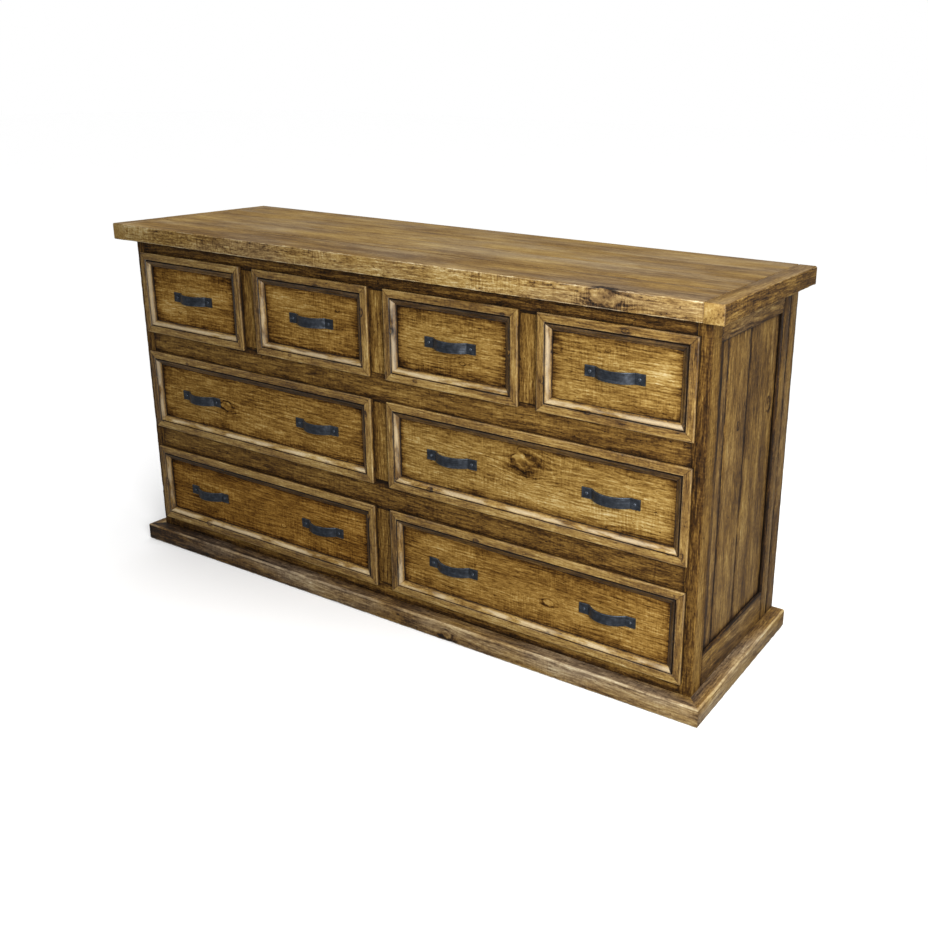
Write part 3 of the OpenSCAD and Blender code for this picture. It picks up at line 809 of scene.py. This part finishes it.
def grooved(w, t, at, g):
    """A section with the planks' groove, g its half width, in the side towards positive a."""
    floor_a = w / 2 - GROOVE_DEPTH
    return [(-w / 2, -t / 2), (w / 2, -t / 2), (w / 2, at - g), (floor_a, at - g),
            (floor_a, at + g), (w / 2, at + g), (w / 2, t / 2), (-w / 2, t / 2)]


def seamed(w, t, at, g):
    """A section with the groove towards negative a, and a seam cut along its other arris."""
    floor_a = -w / 2 + GROOVE_DEPTH
    seam_a = w / 2 - SEAM_WIDTH
    seam_b = -t / 2 + SEAM_DEPTH
    return [(-w / 2, -t / 2), (seam_a, -t / 2), (seam_a, seam_b), (w / 2, seam_b), (w / 2, t / 2),
            (-w / 2, t / 2), (-w / 2, at + g), (floor_a, at + g), (floor_a, at - g), (-w / 2, at - g)]


# each post: seed, section, material, slot, the walls in the nook beside the planks, which take painted shade,
# how much lighter
POSTS = {
    "front_post": (320, grooved, FRAME_WOOD, "stained_pine", {"+y": NOOK_PAINTED_SHADE}, 0.03),
    "rear_post": (322, whole, SIDE_WOOD, "side_pine", None, 0.0),
    "rear_stile": (324, seamed, SIDE_WOOD, "side_pine", {"-y": NOOK_PAINTED_SHADE}, 0.0),
}


def build_posts(side, sign, face):
    plank_x, groove = plank_groove()
    rearwards = across_of(face, "+z").y
    for node, (seed, section, material, slot, skins, lift) in POSTS.items():
        name = f"{node}_{side}"
        low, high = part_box(name)

        def corners(w, t, section=section, at=(low.x + high.x) / 2 * sign - plank_x):
            shape = section(w, t, at, groove)
            return shape if rearwards > 0 else mirrored(shape)

        made = Wood(seed + (sign > 0))
        made.board(low, high, "+z", face, radius=1.6 * MM, corners=corners, step=10 * MM,
                   nicks=26, ripple=0.3 * MM, wobble=0.7, lift=lift)
        made.finish(name + "_pine", name, material, skins)


def build_side_rails(side, sign, face):
    plank_x, groove = plank_groove()
    made = Wood(330 + (sign > 0))
    rails = sorted(solids(f"side_rails_{side}"), key=lambda b: b[0].z)
    upwards = across_of(face, "+y").z
    for number, (low, high) in enumerate(rails):
        towards_planks = upwards if number == 0 else -upwards

        def corners(w, t, at=(low.x + high.x) / 2 * sign - plank_x, turned=towards_planks < 0):
            shape = grooved(w, t, at, groove)
            return mirrored(shape) if turned else shape

        made.board(low, high, "+y", face, radius=1.6 * MM, corners=corners, step=15 * MM, nicks=8)
    # the rails' undersides take the near black painted shade of the nooks
    piece = made.finish(f"side_rails_{side}_pine", f"side_rails_{side}", SIDE_WOOD, {"-z": NOOK_PAINTED_SHADE})


def build_side_planks(side, sign, face):
    made = Wood(340 + (sign > 0))
    planks = sorted(solids(f"side_planks_{side}"), key=lambda b: b[0].y)
    rearwards = across_of(face, "+z").y
    panel_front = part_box(f"front_post_{side}")[1].y
    panel_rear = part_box(f"rear_stile_{side}")[0].y
    for (low, high), (up, back, size) in zip(planks, PLANK_KNOTS):
        front, rear = max(low.y, panel_front), min(high.y, panel_rear)
        seen = ((high.z - low.z) / 2 - GROOVE_DEPTH, (rear - front) / 2, (high.x - low.x) / 2)
        middle = (low.y + high.y) / 2

        def corners(w, t, front=front - middle, rear=rear - middle):
            """A plank with painted shade along the edges of the framed panel."""
            dirt = []
            if front > -w / 2 + LEAST_HIDDEN:
                dirt += [(front + behind, d) for behind, d in FRONT_POST_PAINTED_SHADOW]
            if rear < w / 2 - LEAST_HIDDEN:
                dirt += [(rear + behind, d) for behind, d in REAR_STILE_PAINTED_SHADE]
            if rearwards < 0:
                dirt = mirrored(dirt)
            shape = rectangle(w, t)
            return shape[:1] + [(a, -t / 2, d) for a, d in dirt] + shape[1:]

        made.board(low, high, "+z", face, radius=1.2 * MM, step=20 * MM, nicks=10, ripple=0.4 * MM,
                   seen=seen, shift=((front + rear) / 2 - middle) * rearwards, corners=corners,
                   knot=(up, back * rearwards, size))
    made.finish(f"side_planks_{side}_pine", f"side_planks_{side}", PLANK_WOOD)


# ---- drawers ----


def moulding_section(light, dark_slope):
    """The profile across its width, its face towards negative b, with painted shade on its outer side, in
    the groove and at the foot of the slope, and arrises worn. light and dark_slope say how much painted
    sheen and how much painted shade the slope takes."""
    start = MOULDING_BAND + QUIRK_WIDTH / 2
    slope_w = MOULDING_WIDTH - start
    slope_h = MOULDING_HEIGHT - MOULDING_INNER
    top = MOULDING_HEIGHT
    r = MOULDING_ROUND
    # painted shade on the outer side, where the moulding stands proud of the frame
    points = [(0, 0.0, 0.0, 1.0), (0, top * 0.45, 0.0, 0.8)]
    for k in range(ARC_STEPS + 1):
        a = math.pi / 2 * k / ARC_STEPS
        points.append((r * (1 - math.cos(a)), top - r * (1 - math.sin(a)), 0.15, 0.0))
    edge = MOULDING_BAND - QUIRK_WIDTH / 2
    # painted shade in the quirk
    points += [(r + 1.5 * MM, top, 0.0, 0.0), (MOULDING_BAND * 0.5, top, 0.0, 0.0),
               (edge - 2.2 * MM, top, 0.0, 0.05), (edge - 0.5 * MM, top, 0.2, 0.1),
               (edge, top - 0.5 * MM, 0.1, 0.6), (MOULDING_BAND, top - QUIRK_DEPTH, 0.0, 1.3)]
    for k in range(SLOPE_STEPS + 1):
        u = k / SLOPE_STEPS
        height = MOULDING_INNER + slope_h * (1 + math.cos(math.pi * u)) / 2
        # bright is painted sheen on the slope; dark is painted shade on the slope and at its foot against the
        # panel
        bright = math.sin(math.pi * min(1, u * 1.35)) * light
        dark = 1.2 if k == 0 else max(dark_slope, (u - 0.8) * 5.0)
        points.append((start + slope_w * u, height, bright, dark))
    points.append((MOULDING_WIDTH, 0.0, 0.0, 1.0))
    rows = []
    for x, y, worn, dirty in points:
        rows.append((x - MOULDING_WIDTH / 2, MOULDING_HEIGHT / 2 - y, worn, dirty))
    return np.array(rows)[::-1]


# each side of a moulding: which way is outwards, how much painted sheen its slope takes (the bottom
# and left sides, whose slopes face up and right), how much painted shade the slope takes (the top and
# right sides, whose slopes face down and left), and how much lighter it is
MOULDING_SIDES = (
    ("-z", 1.0, 0.0, 0.02),
    ("+x", 0.1, 0.45, -0.03),
    ("+z", 0.1, 0.6, 0.0),
    ("-x", 0.8, 0.05, -0.10),
)


def build_moulding(number):
    node = f"drawer_{number}_moulding"
    low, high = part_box(node)
    made = Wood(400 + number)
    middle = (low + high) / 2
    width, height = high.x - low.x, high.z - low.z
    for outwards, light, dark_slope, lift in MOULDING_SIDES:
        upright = outwards in ("+x", "-x")
        length = (height if upright else width) - 2 * HAIRLINE
        reach = (width if upright else height) / 2 - MOULDING_WIDTH / 2
        along = "+z" if upright else "+x"
        turned = across_of("-y", along).dot(OUT[outwards]) > 0
        section = moulding_section(light, dark_slope)
        if turned:
            section[:, 0] *= -1
            section = section[::-1]

        def cut(a, b, turned=turned):
            inside = (MOULDING_WIDTH / 2 - a) if turned else (a + MOULDING_WIDTH / 2)
            return np.maximum(inside, 0.0)

        centre = middle + OUT[outwards] * reach
        made.loft(centre, along, "-y", length, section, start=cut, end=cut, step=14 * MM,
                  chamfer=0.03 * MM, ripple=0.15 * MM, nicks=6, wobble=0.35, end_dirt=0.3, lift=lift,
                  seen=(length, MOULDING_WIDTH, MOULDING_HEIGHT / 2),
                  knot=(made.rng.uniform(-0.4, 0.4) * length, made.rng.uniform(-8, 6) * MM,
                        made.rng.uniform(2, 5) * MM))
    made.finish(node + "_pine", node, MOULDING_WOOD)


# each drawer front: how far right of the middle and how far below it its knot is and the knot's half
# height, in millimetres, then how much lighter and how much redder than the others the front is; the
# darker fronts on the lower left are partly painted shade where less light reaches
FRONTS = {
    1: (-60, 40, 3, 0.0, 0.45),
    2: (90, -38, 3, 0.0, 0.3),
    3: (33, 39, 4, -0.05, 0.1),
    4: (-20, -50, 3, 0.05, 0.0),
    5: (-124, 5, 13, -0.02, 0.3),
    6: (-12, -34, 20, 0.02, 0.0),
    7: (70, 30, 5, -0.06, 0.65),
    8: (60, 15, 9, -0.01, 0.3),
}


def build_front(number):
    node = f"drawer_{number}_front"
    low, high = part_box(node)
    outer_low, outer_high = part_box(f"drawer_{number}_moulding")
    # glaze and painted shade run round the panel inside the moulding
    seen = ((outer_high.x - outer_low.x) / 2 - MOULDING_WIDTH,
            (outer_high.z - outer_low.z) / 2 - MOULDING_WIDTH, (high.y - low.y) / 2)
    aside, below, size, lift, warm = FRONTS[number]
    made = Wood(430 + number)
    made.board(low, high, "+x", "-y", radius=0.8 * MM, step=20 * MM, seen=seen,
               knot=(aside * MM, below * MM, size * MM), lift=lift, warm=warm)
    made.finish(node + "_pine", node, PANEL_WOOD)


def build_box(number):
    node = f"drawer_{number}_box"
    made = Wood(460 + number)
    parts = solids(node)
    bottom = min(parts, key=lambda b: b[1].z - b[0].z)
    back = min(parts, key=lambda b: b[1].y - b[0].y)
    for low, high in parts:
        if (low, high) == bottom:
            made.board(low, high, "+x", "+z", radius=0.3 * MM, step=60 * MM)
        elif (low, high) == back:
            made.board(low, high, "+x", "+y", radius=1 * MM, step=60 * MM)
        else:
            right = (low.x + high.x) / 2 > (back[0].x + back[1].x) / 2
            face = "+x" if right else "-x"
            floor_z = (bottom[0].z + bottom[1].z) / 2 - (low.z + high.z) / 2
            groove_w = bottom[1].z - bottom[0].z + GROOVE_PLAY
            up = across_of(face, "+y").z

            def corners(w, t, z=floor_z * up, g=groove_w / 2):
                return [(-w / 2, -t / 2), (w / 2, -t / 2), (w / 2, t / 2), (z + g, t / 2),
                        (z + g, t / 2 - DRAWER_GROOVE), (z - g, t / 2 - DRAWER_GROOVE),
                        (z - g, t / 2), (-w / 2, t / 2)]

            made.board(low, high, "+y", face, radius=1 * MM, corners=corners, step=60 * MM)
    made.finish(node + "_pine", node, RAW_WOOD)


# ---- pulls ----


def strap_path(length, reach, spacing):
    """Middle line of the strap, seen from above, from its left end, as points (x, out)."""
    chord = length / 2 - PULL_FLANGE
    radius = (chord ** 2 + reach ** 2) / (2 * reach)
    middle_radius = radius - STRAP / 2
    centre = reach - radius
    edge = math.acos((STRAP / 2 - centre) / middle_radius)
    points = []
    for x in np.arange(-length / 2, -middle_radius * math.sin(edge) - spacing * 0.5, spacing):
        points.append((x, STRAP / 2))
    steps = round(2 * edge * middle_radius / spacing)
    for k in range(steps + 1):
        angle = -edge + 2 * edge * k / steps
        points.append((middle_radius * math.sin(angle), centre + middle_radius * math.cos(angle)))
    left = [p for p in points if p[0] < -middle_radius * math.sin(edge) - 1e-6]
    points += [(-x, y) for x, y in reversed(left)]
    return np.array(points)


def add_strap(made, low, high):
    """One hammered strap that fills its CAD box."""
    rng = made.rng
    height, length, reach = high.z - low.z, high.x - low.x, high.y - low.y
    path = strap_path(length, reach, STRAP_STEP)
    tangent = np.gradient(path, axis=0)
    tangent /= np.linalg.norm(tangent, axis=1)[:, None]
    normal = np.stack([-tangent[:, 1], tangent[:, 0]], 1)
    section = outline(rectangle(height, STRAP), STRAP_ROUND, step=2.6 * MM)
    a, b, worn, _ = section.T
    way = np.concatenate([[0], np.cumsum(np.linalg.norm(np.diff(path, axis=0), axis=1))])
    dents = 0
    for _ in range(STRAP_DENTS):
        at = rng.uniform(0, way[-1])
        up = rng.uniform(-height / 2, height / 2)
        wide = rng.uniform(3, 6) * MM
        far = (way[:, None] - at) ** 2 + (a[None, :] - up) ** 2
        dents = dents + rng.uniform(0.1, 0.32) * MM * np.exp(-far / wide ** 2)
    front = (b > STRAP * 0.3)[None, :]
    thick = b[None, :] - np.where(front, dents, 0)
    uneven = 1 - 0.012 * (1 + np.sin(way * 95 + rng.uniform(0, 6)))
    tall = a[None, :] * uneven[:, None]
    x = path[:, 0][:, None] + normal[:, 0][:, None] * thick
    out = path[:, 1][:, None] + normal[:, 1][:, None] * thick
    out = np.clip(out, 0, None)
    middle = (low + high) / 2
    verts = np.stack([middle.x + x, high.y - out, middle.z + tall], -1).reshape(-1, 3)
    count, rings = len(a), len(path)
    co = np.stack([way[:, None] + 0 * tall, tall, thick + 0 * tall], -1).reshape(-1, 3)
    co += rng.uniform(0, 3)
    mark = np.tile(np.stack([np.zeros(count), worn, np.zeros(count)], -1), (rings, 1))
    made.add(verts, tube_faces(count, rings), co, mark)


def add_screw(made, low, high):
    """A slotted round-headed screw whose shank runs back into the drawer front."""
    middle = (low + high) / 2
    head_r = (high.x - low.x) / 2
    shank_r = head_r * 0.55
    rim = SCREW_HEAD * 0.72
    dome = math.radians(80)
    shape = [(shank_r * 0.6, high.y), (shank_r, high.y - 1.5 * MM), (shank_r, low.y + SCREW_HEAD),
             (head_r, low.y + SCREW_HEAD), (head_r, low.y + rim)]
    for k in range(1, 6):
        a = dome * k / 5
        shape.append((head_r * math.cos(a), low.y + rim * (1 - math.sin(a) / math.sin(dome))))
    turn = made.rng.uniform(0, math.pi)
    verts, co, mark = [], [], []
    for radius, y in shape:
        for k in range(SCREW_TURNS):
            angle = 2 * math.pi * k / SCREW_TURNS
            u, v = radius * math.cos(angle), radius * math.sin(angle)
            across_slot = abs(u * math.sin(turn) - v * math.cos(turn))
            slot = across_slot < SCREW_SLOT and y < low.y + SCREW_HEAD * 0.7
            verts.append((middle.x + u, y + (0.7 * MM if slot else 0.0), middle.z + v))
            co.append((u, v, y))
            mark.append((0.0, 0.8 if y < low.y + SCREW_HEAD else 0.0, 0.0))
    faces = []
    for r in range(len(shape) - 1):
        for k in range(SCREW_TURNS):
            m = (k + 1) % SCREW_TURNS
            near, far = r * SCREW_TURNS, (r + 1) * SCREW_TURNS
            faces.append((near + k, far + k, far + m, near + m))
    faces.append(tuple(range(SCREW_TURNS)))
    faces.append(tuple(reversed(range((len(shape) - 1) * SCREW_TURNS, len(shape) * SCREW_TURNS))))
    made.add(np.array(verts), faces, np.array(co), np.array(mark))


# drawers 1 to 4 have one pull, and the wide ones below have two
LAST_SMALL_DRAWER = 4


def build_pulls(number):
    node = f"drawer_{number}_pull" if number <= LAST_SMALL_DRAWER else f"drawer_{number}_pulls"
    made = Wood(500 + number)
    for low, high in solids(node):
        if high.x - low.x > WIDEST_SCREW:
            add_strap(made, low, high)
        else:
            add_screw(made, low, high)
    piece = made.finish(node + "_iron", node, IRON)


build_top()
build_base()
build_face_frame()
for side, sign, face in (("left", -1, "-x"), ("right", 1, "+x")):
    build_posts(side, sign, face)
    build_side_rails(side, sign, face)
    build_side_planks(side, sign, face)
for node, along, face, seed, step in (
        ("back_panel", "+x", "+y", 350, 80 * MM),
        ("back_rails", "+x", "+y", 351, 60 * MM),
        ("centre_partition", "+y", "+x", 352, 60 * MM),
        ("drawer_runners", "+y", "+z", 353, 80 * MM),
        ("drawer_guides", "+y", "+z", 354, 80 * MM),
        ("top_cleats", "+y", "-z", 355, 80 * MM)):
    plain(node, along, face, RAW_WOOD, "raw_pine", seed, step=step)
for drawer in FRONTS:
    build_moulding(drawer)
    build_front(drawer)
    build_box(drawer)
    build_pulls(drawer)

# ---- floor, light and camera ----


def studio_floor():
    """Pale paper that looks lighter than it lights the dresser from below."""
    n = Nodes("floor_paper")
    grain = n.noise(n.node("ShaderNodeTexCoord").outputs["Object"], (3, 3, 3), 4.0)
    seen = n.node("ShaderNodeLightPath").outputs["Is Camera Ray"]
    pale = n.ramp(grain, [(0.0, (FLOOR_SEEN,) * 3), (1.0, (FLOOR_SEEN + FLOOR_GRAIN,) * 3)])
    colour = n.mix(seen, (FLOOR_BOUNCE,) * 3, pale)
    return n.surface(colour, 0.8, grain, 0.1 * MM, **{"Specular IOR Level": 0.1})


def studio_world():
    """White behind the dresser, and a softer light from all round."""
    world = bpy.data.worlds.new("studio")
    world.use_nodes = True
    tree = world.node_tree
    seen = tree.nodes.new("ShaderNodeLightPath").outputs["Is Camera Ray"]
    strength = tree.nodes.new("ShaderNodeMapRange")
    strength.inputs["To Min"].default_value = SKY_LIGHT
    strength.inputs["To Max"].default_value = SKY_SEEN
    tree.links.new(seen, strength.inputs["Value"])
    tree.links.new(strength.outputs["Result"], tree.nodes["Background"].inputs["Strength"])
    tree.nodes["Background"].inputs["Color"].default_value = (1, 1, 1, 1)
    bpy.context.scene.world = world


def hang(data):
    """An object for a lamp's or camera's data, under the same name."""
    holder = bpy.data.objects.new(data.name, data)
    bpy.context.scene.collection.objects.link(holder)
    return holder


def key_light():
    """A softbox in front of the dresser and to its right."""
    light = bpy.data.lights.new("key", "AREA")
    light.shape = "RECTANGLE"
    light.size, light.size_y = KEY_SIZE
    light.energy = KEY_POWER
    holder = hang(light)
    holder.location = KEY_AT
    holder.rotation_mode = "QUATERNION"
    holder.rotation_quaternion = (Vector(KEY_TOWARDS) - Vector(KEY_AT)).to_track_quat("-Z", "Y")


def overhead():
    """A wide soft ceiling of light that is the same all over the floor."""
    light = bpy.data.lights.new("ceiling", "SUN")
    light.energy = CEILING
    light.angle = CEILING_SPREAD
    holder = hang(light)
    holder.rotation_euler = CEILING_TILT


def place_camera():
    camera_data = bpy.data.cameras.new("camera")
    camera_data.lens = CAMERA_LENS
    camera_data.sensor_width = CAMERA_SENSOR
    camera_data.shift_x, camera_data.shift_y = CAMERA_SHIFT
    camera = hang(camera_data)
    level = Vector((math.cos(CAMERA_AZIMUTH), math.sin(CAMERA_AZIMUTH), 0))
    ahead = Vector((-math.sin(CAMERA_AZIMUTH) * math.cos(CAMERA_ELEVATION),
                    math.cos(CAMERA_AZIMUTH) * math.cos(CAMERA_ELEVATION), -math.sin(CAMERA_ELEVATION)))
    upright = level.cross(ahead)
    right = level * math.cos(CAMERA_ROLL) + upright * math.sin(CAMERA_ROLL)
    up = upright * math.cos(CAMERA_ROLL) - level * math.sin(CAMERA_ROLL)
    camera.rotation_mode = "QUATERNION"
    camera.rotation_quaternion = Matrix((right, up, -ahead)).transposed().to_quaternion()
    camera.location = CAMERA_AT
    bpy.context.scene.camera = camera


bpy.ops.mesh.primitive_grid_add(x_subdivisions=2, y_subdivisions=2, size=FLOOR_SIZE, location=(0, 0, 0))
floor = bpy.context.object
floor.name = "floor"
floor.data.materials.append(studio_floor())
studio_world()
overhead()
key_light()
place_camera()
bpy.context.scene.view_settings.view_transform = "Standard"
